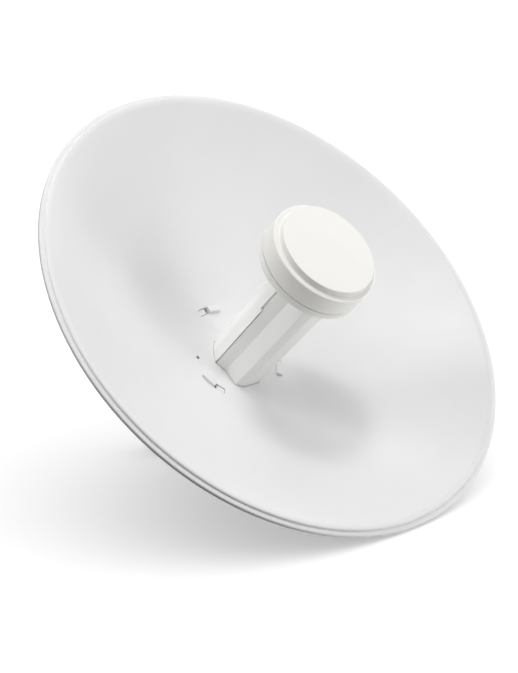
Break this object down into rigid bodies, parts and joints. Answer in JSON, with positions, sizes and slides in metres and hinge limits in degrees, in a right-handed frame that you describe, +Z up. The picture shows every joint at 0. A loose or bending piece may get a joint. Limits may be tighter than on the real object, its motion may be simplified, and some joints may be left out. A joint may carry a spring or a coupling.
{
  "type": "outdoor wireless bridge",
  "caption": "Dish antenna with a plug-in radio feed tube and round feed cap, a rear housing and a tilting pole clamp for point-to-point wireless links.",
  "frame": {"origin": "on the pole's axis, at the middle of the pole clamp's height", "axes": "+Z up along the pole; the dish faces -Y; +X to the right as seen from the front"},
  "size_m": [0.42, 0.2697, 0.42],
  "materials": {
    "dish_paint": "white powder coat",
    "white_plastic": "fine moulded grain",
    "feed_plastic": "fine moulded grain",
    "cap_plastic": "smooth satin",
    "dark_rubber": "matt",
    "foam": "closed cell",
    "zinc_steel": "zinc plated",
    "bolt_steel": "plated fasteners",
    "spring_steel": "drawn wire",
    "aluminium": "stamped",
    "circuit_board": "solder mask over glass fibre",
    "tin_plate": "tin plated",
    "chip_black": "moulded epoxy",
    "gold": "gold flash",
    "vial_glass": "clear with tinted liquid",
    "clear_plastic": "polished",
    "button_grey": "fine grain"
  },
  "bodies": {
    "pole_mount": {"pole_bracket": "zinc_steel", "pivot_bolts": "bolt_steel", "pivot_nuts": "bolt_steel", "carriage_bolts": "bolt_steel", "ground_screw": "bolt_steel"},
    "clamp": {"clamp_jaw": "zinc_steel", "clamp_washers": "bolt_steel", "clamp_nuts": "bolt_steel"},
    "antenna": {"reflector_dish": "dish_paint", "hub_gasket": "foam", "hook_plate": "white_plastic", "tube_seal": "dark_rubber", "rear_cover": "white_plastic", "cover_screws": "bolt_steel", "level_vial": "vial_glass", "level_bedding": "dark_rubber", "tilt_bracket": "zinc_steel", "tilt_bracket_screws": "bolt_steel", "lock_bolts": "bolt_steel", "lock_nuts": "bolt_steel", "release_spring": "spring_steel"},
    "release": {"release_slider": "button_grey"},
    "port_door": {"port_cover": "white_plastic"},
    "feed": {"feed_upper_shell": "feed_plastic", "feed_lower_shell": "feed_plastic", "tail_plug": "feed_plastic", "cap_base": "cap_plastic", "cap_front": "cap_plastic", "cap_seal": "dark_rubber", "cap_screws": "bolt_steel", "sub_reflector": "aluminium", "antenna_board": "circuit_board", "board_spacers": "white_plastic", "feed_pins": "gold", "main_board": "circuit_board", "board_screws": "bolt_steel", "radio_shield_can": "tin_plate", "processor_shield_can": "tin_plate", "board_chips": "chip_black", "ethernet_transformer": "chip_black", "ethernet_jack": "tin_plate", "jack_contacts": "gold", "status_leds": "clear_plastic", "light_pipes": "clear_plastic", "reset_switch": "chip_black"},
    "reset": {"reset_button": "button_grey"}
  },
  "joints": [
    {"name": "tilt", "type": "hinge", "parent": "pole_mount", "child": "antenna", "pos_m": [0, -0.039, 0], "axis": [1, 0, 0], "range_deg": [-20, 20]},
    {"name": "clamp_slide", "type": "slide", "parent": "pole_mount", "child": "clamp", "axis": [0, 1, 0], "range_m": [-0.018, 0.002]},
    {"name": "feed_pull", "type": "slide", "parent": "antenna", "child": "feed", "axis": [0, -1, 0], "range_m": [0, 0.06]},
    {"name": "release_press", "type": "slide", "parent": "antenna", "child": "release", "axis": [0, 0, -1], "range_m": [0, 0.003], "stiffness_N_per_m": 600, "springref_m": -0.003, "deforming": ["release_spring"]},
    {"name": "port_cover_slide", "type": "slide", "parent": "antenna", "child": "port_door", "axis": [0, 0, -1], "range_m": [0, 0.03]},
    {"name": "reset_press", "type": "slide", "parent": "feed", "child": "reset", "axis": [0, 0, 1], "range_m": [0, 0.0005], "stiffness_N_per_m": 800, "springref_m": -0.0008}
  ]
}
